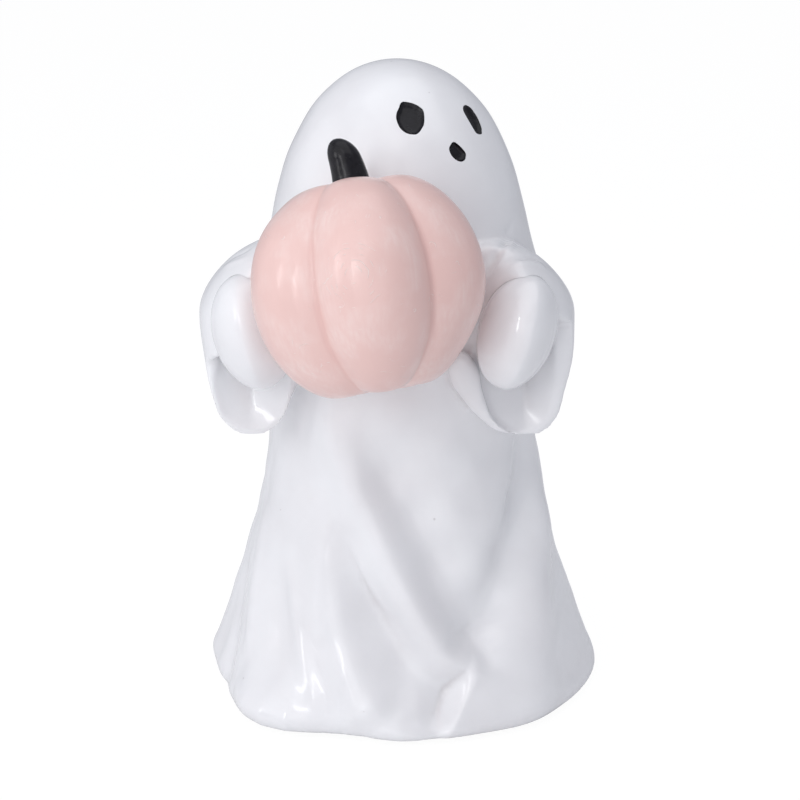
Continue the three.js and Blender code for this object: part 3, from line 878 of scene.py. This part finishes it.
def skin_frame(angle, z):
    turn = math.radians(angle)
    step = 0.05
    slope = float(profile_radius(np.array(z - step)) - profile_radius(np.array(z + step))) / (2 * step)
    outward = Vector((math.sin(turn), -math.cos(turn), slope)).normalized()
    across = Vector((math.cos(turn), math.sin(turn), 0))
    upward = outward.cross(across)
    r = float(profile_radius(np.array(z)))
    middle = Vector((float(axis_x(z)) + r * math.sin(turn), -r * math.cos(turn), z))
    return np.array(middle), np.array(across), np.array(upward), np.array(outward)


def outline_at(outline, around):
    corners = np.array([*outline[-2:], *outline, *outline[:2]], float)
    line = smooth_line(corners, 10)
    turns = np.unwrap(np.arctan2(line[:, 1], line[:, 0]))
    if turns[-1] < turns[0]:
        line, turns = line[::-1], turns[::-1]
    around = turns[0] + np.mod(around - turns[0], 2 * math.pi)
    return np.interp(around, turns, np.hypot(*line.T))


def socket_form(name, angle, z, outline):
    bpy.ops.object.select_all(action="DESELECT")
    bpy.ops.mesh.primitive_cylinder_add(vertices=96, radius=MM, depth=2 * MM)
    socket = named(name)
    middle, across, upward, outward = skin_frame(angle, z)
    p = points(socket)
    around = np.arctan2(p[:, 1], p[:, 0])
    r = outline_at(outline, around) * np.hypot(p[:, 0], p[:, 1])
    depth = np.where(p[:, 2] < 0, -SOCKET_DEPTH, SOCKET_FRONT)
    a, b = r * np.cos(around), r * np.sin(around)
    move_points(socket, middle + a[:, None] * across + b[:, None] * upward + depth[:, None] * outward)
    return socket


def enamel_form(name, skin_tree, angle, z, outline):
    bpy.ops.object.select_all(action="DESELECT")
    bpy.ops.mesh.primitive_uv_sphere_add(segments=96, ring_count=64, radius=MM)
    enamel = named(name)
    middle, across, upward, outward = skin_frame(angle, z)
    p = points(enamel)
    around = np.arctan2(p[:, 1], p[:, 0])
    climb = np.arcsin(np.clip(p[:, 2], -1, 1)) / (math.pi / 2)
    spread = np.clip(1 - np.abs(climb), 0, 1) / 0.8
    front = climb > 0
    share = np.minimum(spread, 1)
    r = (outline_at(outline, around) - ENAMEL_GAP) * share
    a, b = r * np.cos(around), r * np.sin(around)
    flat_place = middle + a[:, None] * across + b[:, None] * upward
    lift = np.zeros(len(p))
    for i, place in enumerate(flat_place):
        hit = skin_tree.ray_cast(Vector((place + ABOVE_SKIN * outward) * MM), Vector(-outward))
        lift[i] = ABOVE_SKIN - hit[3] / MM if hit[0] is not None else 0
    side_share = np.clip((spread - 1) / 0.25, 0, 1)
    dish = lift - ENAMEL_DISH * (1 - share**5)
    back = np.full(len(p), -ENAMEL_BACK)
    edge = (lift + back) / 2
    height = np.where(front, np.where(spread > 1, mix(lift, edge, side_share), dish),
                      np.where(spread > 1, mix(back, edge, side_share), back))
    move_points(enamel, flat_place + height[:, None] * outward)
    return enamel


skin_tree = BVHTree.FromObject(body, bpy.context.evaluated_depsgraph_get())
enamels = {name: enamel_form(name + "_enamel", skin_tree, **place) for name, place in FACE.items()}
for name, place in FACE.items():
    combine(body, socket_form(name + "_socket", **place))
print("body with its sockets", len(body.data.vertices), "points")

# %% [markdown]
# Under the foot sits a thin pad of felt, so that the casting doesn't scratch a shelf. It isn't in the
# picture. It is a cylinder primitive whose top and bottom are inset and whose edge is bevelled, because felt
# cut with a punch keeps a soft edge.

# %% Felt pad
PAD_RADIUS = 33.2
PAD_THICKNESS = 0.7

bpy.ops.object.select_all(action="DESELECT")
bpy.ops.mesh.primitive_cylinder_add(
    vertices=128, radius=PAD_RADIUS * MM, depth=PAD_THICKNESS * MM, location=(0, 0, PAD_THICKNESS / 2 * MM)
)
pad = named("felt_disc")
bpy.ops.object.transform_apply(location=True)
nothing_selected("FACE")
flat_faces = [abs(face.normal.z) > 0.9 for face in pad.data.polygons]
pad.data.polygons.foreach_set("select", flat_faces)
bpy.ops.object.mode_set(mode="EDIT")
for _ in range(3):
    bpy.ops.mesh.inset(thickness=0.3 * MM)
bpy.ops.object.mode_set(mode="OBJECT")
apply_modifier(pad, "BEVEL", width=0.15 * MM, segments=3, limit_method="ANGLE")
print("felt pad", len(pad.data.vertices), "points")

# %% [markdown]
# One casting has about as many faces as it needs where it bends and fewer where it is flat. The decimate
# modifier thins the body's skin to that. Then every piece is shaded smooth, with crisp edges kept where two
# faces meet at a sharp angle.

# %% Thinning and shading
BODY_TRIANGLES = 190000
CRISP_ANGLE = 50

apply_modifier(body, "DECIMATE", ratio=BODY_TRIANGLES / triangle_count(body))
pieces = [body, *hands.values(), pumpkin, stem, *enamels.values(), pad]
for piece in pieces:
    only(piece)
    bpy.ops.object.shade_smooth_by_angle(angle=math.radians(CRISP_ANGLE))
    print(piece.name, triangle_count(piece), "triangles")

# %% [markdown]
# The hollows get painted shade, with a little dust on the white, so the finish needs to know where they are.
# Each corner's place is compared with the mean of its neighbours: where the mean lies outside the surface,
# the place is hollow. A second measure tells how near the white skin comes to the painted pumpkin, because
# the brush touched it there, and a third how high each place of the stem stands above the pumpkin's dimple.

# %% What the finish needs to know
def neighbour_mean(piece, values, rounds):
    ends = np.array([list(edge.vertices) for edge in piece.data.edges])
    count = np.maximum(np.bincount(ends.ravel(), minlength=len(values)), 1)
    for _ in range(rounds):
        total = [np.bincount(ends[:, 0], values[ends[:, 1], k], len(values))
                 + np.bincount(ends[:, 1], values[ends[:, 0], k], len(values)) for k in range(3)]
        values = np.stack(total, axis=1) / count[:, None]
    return values


def keep(piece, name, values):
    attribute = piece.data.attributes.new(name, "FLOAT", "POINT")
    attribute.data.foreach_set("value", values.astype(np.float32))


def hollow(piece, low, high):
    places = points(piece)
    inward = neighbour_mean(piece, places, 10) - places
    return smooth_step((inward * normals(piece)).sum(axis=1), low, high)


def near_pumpkin(piece, reach):
    found = np.zeros(len(piece.data.vertices))
    places = points(piece)
    for i in np.nonzero(np.linalg.norm(places - PUMPKIN_CENTRE, axis=1) < NEAR_PUMPKIN)[0]:
        hit = pumpkin_tree.find_nearest(Vector(places[i] * MM), reach * MM)
        if hit[0] is not None:
            found[i] = 1 - hit[3] / MM / reach
    return found


for piece in (body, *hands.values()):
    keep(piece, "hollow", hollow(piece, 0.1, 0.45))
    keep(piece, "painted", near_pumpkin(piece, 3.0))
keep(pumpkin, "hollow", hollow(pumpkin, 0.02, 0.25))
stem_places = from_pumpkin(points(stem))
stem_reach = np.hypot(stem_places[:, 0], stem_places[:, 1])
flat_share = np.clip(stem_reach / PUMPKIN_RADIUS, 0, 1) ** (1 / 0.9)
dimple_here = DIMPLE_DEPTH * np.exp(-((stem_reach / DIMPLE_RADIUS) ** 2))
ground = (PUMPKIN_HALF_HEIGHT - dimple_here) * np.sqrt(1 - flat_share**2)
keep(stem, "above_pumpkin", stem_places[:, 2] - ground)

# %% [markdown]
# All materials are made of nodes. One helper turns a colour as a painter would name it, in sRGB, into the
# linear values that the shader wants, and one adds a node. The textures are measured in millimetres of the
# real surface, through the object's own coordinates.

# %% Helpers for the materials
def linear(hex_code):
    parts = [int(hex_code[i:i + 2], 16) / 255 for i in (1, 3, 5)]
    return (*(c / 12.92 if c <= 0.04045 else ((c + 0.055) / 1.055) ** 2.4 for c in parts), 1)


def add_node(tree, kind, inputs=None, **settings):
    node = tree.nodes.new(kind)
    for key, value in settings.items():
        setattr(node, key, value)
    for key, value in (inputs or {}).items():
        if isinstance(value, bpy.types.NodeSocket):
            tree.links.new(value, node.inputs[key])
        else:
            node.inputs[key].default_value = value
    return node


def new_material(name):
    material = bpy.data.materials.new(name)
    material.use_nodes = True
    shader = material.node_tree.nodes["Principled BSDF"]
    return material, material.node_tree, shader


def feed(tree, shader, **values):
    for key, value in values.items():
        socket = shader.inputs[key.replace("_", " ")]
        if isinstance(value, bpy.types.NodeSocket):
            tree.links.new(value, socket)
        else:
            socket.default_value = value


def surface_place(tree, size, stretch=(1, 1, 1), turn=(0, 0, 0), shift=0.0):
    place = add_node(tree, "ShaderNodeTexCoord").outputs["Object"]
    scale = [s / (size * MM) for s in stretch]
    turned = add_node(tree, "ShaderNodeMapping", {"Vector": place, "Rotation": turn})
    moved = {"Vector": turned.outputs[0], "Scale": scale, "Location": (shift,) * 3}
    return add_node(tree, "ShaderNodeMapping", moved).outputs[0]


def cloud(tree, size, detail=3.0, **where):
    place = surface_place(tree, size, **where)
    return add_node(tree, "ShaderNodeTexNoise", {"Vector": place, "Scale": 1.0, "Detail": detail}).outputs[0]


def spread_out(tree, value, low, high, to_low=0.0, to_high=1.0):
    names = {"Value": value, "From Min": low, "From Max": high, "To Min": to_low, "To Max": to_high}
    return add_node(tree, "ShaderNodeMapRange", names).outputs[0]


def calc(tree, operation, first, second=0.0):
    return add_node(tree, "ShaderNodeMath", {0: first, 1: second}, operation=operation).outputs[0]


def blend_colours(tree, share, first, second):
    return add_node(tree, "ShaderNodeMix", {0: share, 6: first, 7: second}, data_type="RGBA").outputs[2]


def relief(tree, height, depth, under=None):
    inputs = {"Height": height, "Distance": depth * MM, "Strength": 1.0}
    if under is not None:
        inputs["Normal"] = under
    return add_node(tree, "ShaderNodeBump", inputs).outputs[0]


def kept(tree, name):
    return add_node(tree, "ShaderNodeAttribute", attribute_name=name).outputs["Fac"]


def pinholes(tree, spacing, size, seed):
    place = surface_place(tree, spacing, shift=seed)
    cells = add_node(tree, "ShaderNodeTexVoronoi", {"Vector": place, "Scale": 1.0})
    small = calc(tree, "LESS_THAN", cells.outputs["Distance"], size / spacing)
    draw = add_node(tree, "ShaderNodeSeparateColor", {0: cells.outputs["Color"]}).outputs[0]
    chosen = calc(tree, "GREATER_THAN", draw, 0.55)
    return calc(tree, "MULTIPLY", small, chosen)


# %% [markdown]
# The white is a cast polyester resin, sanded, sprayed with white lacquer and then clear. The lacquer gives
# long soft highlights that wobble, because the resin under it is hand-finished and not quite even. Spraying
# leaves a faint orange peel and trapped air leaves a few pinholes. The hollows are painted a patchy grey:
# painted shade, with a little dust.

# %% White lacquered resin
def white_resin():
    material, tree, shader = new_material("white_lacquered_resin")
    # sizes in mm: uneven white 14, patches of painted shade and dust 2.2, ragged paint 1.3, pinholes of 0.22
    # in cells of 7, waves of the hand-finished resin 4.5, orange peel 0.8, wiping marks in the gloss 9
    mottle = spread_out(tree, cloud(tree, 14, 4), 0.35, 0.7)
    colour = blend_colours(tree, mottle, linear("#F1F1F3"), linear("#EBEAEC"))
    patches = spread_out(tree, cloud(tree, 2.2, 5), 0.3, 0.7, 0.25, 0.6)
    # painted shade: the hollows are drawn a darker grey in patches, with a little dust
    hollow_shade_and_dust = calc(tree, "MULTIPLY", kept(tree, "hollow"), patches)
    colour = blend_colours(tree, hollow_shade_and_dust, colour, linear("#CFCACB"))
    ragged = spread_out(tree, cloud(tree, 1.3, 4, shift=7), 0.3, 0.7, -0.3, 0.1)
    ragged = calc(tree, "ADD", kept(tree, "painted"), ragged)
    colour = blend_colours(tree, spread_out(tree, ragged, 0.52, 0.62, 0.0, 0.85), colour, linear("#DFA39B"))
    holes = pinholes(tree, 7.0, 0.22, 11)
    colour = blend_colours(tree, calc(tree, "MULTIPLY", holes, 0.35), colour, linear("#B9B4B6"))
    waves = relief(tree, cloud(tree, 4.5, 2), 0.08)
    peel = relief(tree, cloud(tree, 0.8, 2, shift=3), 0.008, waves)
    pitted = relief(tree, holes, -0.05, peel)
    gloss = spread_out(tree, cloud(tree, 9, 4, shift=5), 0.35, 0.7, 0.09, 0.18)
    feed(tree, shader, Base_Color=colour, Roughness=0.42, Coat_Weight=0.85, Coat_Roughness=gloss,
         Normal=pitted, Coat_Normal=pitted)
    return material


# %% [markdown]
# The pumpkin was painted by hand with pale pink acrylic. The brush ran from stem to foot, so fine strokes
# follow the lobes, the paint is thinner in patches, and short curved scratches show the lighter undercoat.
# Round one spot of the front lobe they run in rings of arcs: these are partly scratches and partly a painted
# highlight, where they glint. The creases are painted a darker pink, as painted shade. The paint has a satin
# sheen, with soft highlights that the strokes break up.

# %% Pink acrylic
# centre, ring spacing and reach in mm of the scratch arcs on the front lobe, partly a painted highlight
GLINTING_SCRATCH_MIDDLE = (-8.6, -55.5, 93.5)
GLINTING_SCRATCH_STEP = 0.95
GLINTING_SCRATCH_REACH = 6.5


def pink_acrylic():
    material, tree, shader = new_material("pink_brushed_acrylic")
    # sizes in mm: strokes 0.7 wide and eight times as long, thin paint 8, scratches 3.2 in patches of 5,
    # cut short at 0.9, glinting arcs broken at 1.7, waves 5, changes of the sheen 3
    turn = Matrix(PUMPKIN_TURN.T.tolist()).to_euler("XYZ")
    strokes = cloud(tree, 0.7, 4, stretch=(1, 1, 0.12), turn=tuple(turn))
    thin = spread_out(tree, cloud(tree, 8, 4, shift=2), 0.45, 0.75)
    thin = calc(tree, "MULTIPLY", thin, spread_out(tree, strokes, 0.35, 0.65, 0.3, 1.0))
    colour = blend_colours(tree, thin, linear("#EBC6BF"), linear("#F2D9D3"))
    # painted shade: the creases between the lobes are drawn a darker pink
    crease_shade = calc(tree, "MULTIPLY", kept(tree, "hollow"), 0.5)
    colour = blend_colours(tree, crease_shade, colour, linear("#DDB0A9"))
    lines = calc(tree, "ABSOLUTE", calc(tree, "SUBTRACT", cloud(tree, 3.2, 1.5, shift=4), 0.5))
    lines = spread_out(tree, lines, 0.0, 0.012, 1.0, 0.0)
    places = spread_out(tree, cloud(tree, 5.0, 2, shift=9), 0.54, 0.62)
    short = spread_out(tree, cloud(tree, 0.9, 1, shift=6), 0.5, 0.56)
    scratches_and_glints = calc(tree, "MULTIPLY", calc(tree, "MULTIPLY", lines, places), short)
    # rings of scratch arcs round one spot of the front lobe: partly scratches, partly a painted highlight
    middle = Vector(GLINTING_SCRATCH_MIDDLE) * MM
    place = add_node(tree, "ShaderNodeTexCoord").outputs["Object"]
    apart = add_node(tree, "ShaderNodeVectorMath", {0: place, 1: middle}, operation="DISTANCE")
    apart = calc(tree, "DIVIDE", apart.outputs["Value"], MM)
    wobble = calc(tree, "MULTIPLY", cloud(tree, 3.5, 2, shift=12), 1.6)
    rings = calc(tree, "FRACT", calc(tree, "ADD", calc(tree, "DIVIDE", apart, GLINTING_SCRATCH_STEP), wobble))
    glinting_arcs = calc(tree, "ABSOLUTE", calc(tree, "SUBTRACT", rings, 0.5))
    glinting_arcs = spread_out(tree, glinting_arcs, 0.03, 0.09, 1.0, 0.0)
    glinting_arcs = calc(tree, "MULTIPLY", glinting_arcs, spread_out(tree, cloud(tree, 1.7, 2, shift=14), 0.53, 0.58))
    inside = spread_out(tree, apart, GLINTING_SCRATCH_REACH - 1.5, GLINTING_SCRATCH_REACH, 1.0, 0.0)
    glinting_arcs = calc(tree, "MULTIPLY", glinting_arcs, inside)
    scratches_and_glints = calc(tree, "MAXIMUM", scratches_and_glints, glinting_arcs)
    # lighter undercoat in the scratches, and painted highlight where the arcs glint
    colour = blend_colours(tree, calc(tree, "MULTIPLY", scratches_and_glints, 0.6), colour, linear("#F8EAE6"))
    brushed = relief(tree, strokes, 0.03, relief(tree, cloud(tree, 5, 2, shift=1), 0.15))
    scored = relief(tree, scratches_and_glints, 0.05, brushed)
    satin = spread_out(tree, cloud(tree, 3, 4, shift=8), 0.3, 0.7, 0.34, 0.5)
    feed(tree, shader, Base_Color=colour, Roughness=satin, Coat_Weight=0.5, Coat_Roughness=0.15,
         Normal=scored, Coat_Normal=scored)
    return material


# %% [markdown]
# Eyes, mouth and stem were filled in with black enamel from a small brush. Enamel levels itself and dries
# glossy, so it mirrors the lights in narrow bands, and only faint ridges of the brush are left in it. Round
# the stem's foot the pumpkin's pink was dabbed over the black, in a ragged edge.

# %% Black enamel
def black_enamel(name, dabbed):
    material, tree, shader = new_material(name)
    # sizes in mm: worn patches 1.2, brush ridges 0.5, waves 2.2, changes of the gloss 0.8, ragged edge 0.7
    worn = spread_out(tree, cloud(tree, 1.2, 5), 0.35, 0.75)
    colour = blend_colours(tree, worn, linear("#141317"), linear("#201F24"))
    waves = relief(tree, cloud(tree, 2.2, 2), 0.08)
    ridges = relief(tree, cloud(tree, 0.5, 3, stretch=(1, 1, 0.3)), 0.02, waves)
    gloss = spread_out(tree, cloud(tree, 0.8, 4, shift=2), 0.3, 0.7, 0.16, 0.3)
    if dabbed:
        edge = spread_out(tree, cloud(tree, 0.7, 3), 0.3, 0.7, -0.35, 0.35)
        edge = calc(tree, "ADD", kept(tree, "above_pumpkin"), edge)
        dab = spread_out(tree, edge, 0.25, 0.4, 1.0, 0.0)
        colour = blend_colours(tree, dab, colour, linear("#EFCDC6"))
        gloss = calc(tree, "ADD", gloss, calc(tree, "MULTIPLY", dab, 0.3))
    feed(tree, shader, Base_Color=colour, Roughness=gloss, Specular_IOR_Level=0.25, Normal=ridges)
    return material


# %% [markdown]
# The pad is white wool felt, pressed flat: matt, a little fuzzy at the edge, with short fibres that lie in
# every direction.

# %% Wool felt
def wool_felt():
    material, tree, shader = new_material("white_wool_felt")
    # fibres 0.35 mm apart, raised by 0.08 mm
    fibres = cloud(tree, 0.35, 5)
    colour = blend_colours(tree, spread_out(tree, fibres, 0.35, 0.65), linear("#D6D3CC"), linear("#E9E7E1"))
    fuzz = relief(tree, fibres, 0.08)
    feed(tree, shader, Base_Color=colour, Roughness=0.95, Sheen_Weight=0.3, Normal=fuzz)
    return material


# %% [markdown]
# Each piece now gets its finish. The same white covers body and hands, because they were sprayed together.

# %% Finishes on the pieces
white = white_resin()
pink = pink_acrylic()
enamel = black_enamel("black_gloss_enamel", False)
stem_enamel = black_enamel("black_enamel_with_pink_edge", True)
for piece, material in [
    (body, white), (hands[1], white), (hands[-1], white), (pumpkin, pink), (stem, stem_enamel),
    (pad, wool_felt()),
    *((dot, enamel) for dot in enamels.values()),
]:
    piece.data.materials.clear()
    piece.data.materials.append(material)
    print(piece.name, "is", material.name)

# %% [markdown]
# Gloss mirrors every lamp, so the studio is made of large soft boxes: a key at the upper left, one overhead,
# a weak fill in front, a panel at the side, and two narrow lamps for the small bright streaks. A single sun
# would be simpler, but it would leave hard dots on the lacquer. The room itself adds a little cool light.
# Seen by the camera or through glass, the room is plain white.

# %% Room and lamps
WORLD_LIGHT = 0.46
WHITE = (1, 1, 1, 1)

bpy.context.scene.view_settings.view_transform = "Standard"


def seen_directly(tree):
    rays = add_node(tree, "ShaderNodeLightPath").outputs
    return calc(tree, "MAXIMUM", rays["Is Camera Ray"], rays["Is Transmission Ray"])


def mix_shaders(tree, share, first, second):
    inputs = {0: share, 1: first.outputs[0], 2: second.outputs[0]}
    return add_node(tree, "ShaderNodeMixShader", inputs).outputs[0]


world = bpy.data.worlds.new("studio")
bpy.context.scene.world = world
world.use_nodes = True
tree = world.node_tree
tree.nodes.clear()
room = add_node(tree, "ShaderNodeBackground", {"Color": linear("#F1F4FF"), "Strength": WORLD_LIGHT})
backdrop = add_node(tree, "ShaderNodeBackground", {"Color": WHITE, "Strength": 1.0})
shown = mix_shaders(tree, seen_directly(tree), room, backdrop)
add_node(tree, "ShaderNodeOutputWorld", {"Surface": shown})


def lamp(name, place, aim, size, power):
    data = bpy.data.lights.new(name, "AREA")
    data.shape = "RECTANGLE"
    data.size, data.size_y = size
    data.energy = power
    light = bpy.data.objects.new(name, data)
    light.location = place
    light.rotation_euler = (Vector(aim) - Vector(place)).to_track_quat("-Z", "Y").to_euler()
    bpy.context.collection.objects.link(light)
    print(name, power, "W")


# each lamp's place, the point it faces, its width and height, all in metres, and its watts
lamp("key_softbox", (-0.30, -0.40, 0.46), (0, 0, 0.06), (0.6, 0.5), 0.85)
lamp("overhead_softbox", (0.06, -0.1, 0.7), (0, 0, 0.06), (0.7, 0.7), 1.35)
lamp("front_fill", (-0.05, -0.62, 0.12), (0, 0, 0.07), (0.6, 0.4), 0.5)
lamp("side_panel", (-0.6, 0.0, 0.2), (0, 0, 0.06), (0.6, 0.6), 0.5)
lamp("strip_light", (-0.27, -0.44, 0.27), (0, 0, 0.09), (0.035, 0.2), 0.2)
lamp("window_light", (-0.45, -0.25, 0.23), (0, 0, 0.09), (0.08, 0.16), 0.2)

# %% [markdown]
# The floor is pale paper that takes the figurine's shadow. It glows only where the camera sees it, straight
# or through glass, so that it shows nearly white and puts no more light on the figurine.

# %% Floor
FLOOR_SIZE = 8
GLOW_SHARE = 0.92
GLOW = 1.04

bpy.ops.object.select_all(action="DESELECT")
bpy.ops.mesh.primitive_plane_add(size=FLOOR_SIZE)
floor = named("floor")
sweep = bpy.data.materials.new("pale_floor")
sweep.use_nodes = True
tree = sweep.node_tree
tree.nodes.clear()
paper = add_node(tree, "ShaderNodeBsdfDiffuse", {"Color": linear("#F4F4F4")})
glow = add_node(tree, "ShaderNodeEmission", {"Color": WHITE, "Strength": GLOW})
shown = mix_shaders(tree, calc(tree, "MULTIPLY", seen_directly(tree), GLOW_SHARE), paper, glow)
add_node(tree, "ShaderNodeOutputMaterial", {"Surface": shown})
floor.data.materials.append(sweep)
print("floor", FLOOR_SIZE, "m wide")

# %% [markdown]
# Each piece stands for the measured solid of the same part. The figurine is rigid, so all pieces ride on one
# body.

# %% Each piece stands for its measured solid
for piece, node, slot in [
    (body, "ghost_body", "white_lacquer"), (hands[1], "left_hand", "white_lacquer"),
    (hands[-1], "right_hand", "white_lacquer"), (pumpkin, "pumpkin", "pink_paint"),
    (stem, "pumpkin_stem", "black_enamel"), (enamels["right_eye"], "right_eye", "black_enamel"),
    (enamels["left_eye"], "left_eye", "black_enamel"), (enamels["mouth"], "mouth", "black_enamel"),
    (pad, "felt_pad", "felt"),
]:
    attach(piece, "root")
    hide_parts(node)
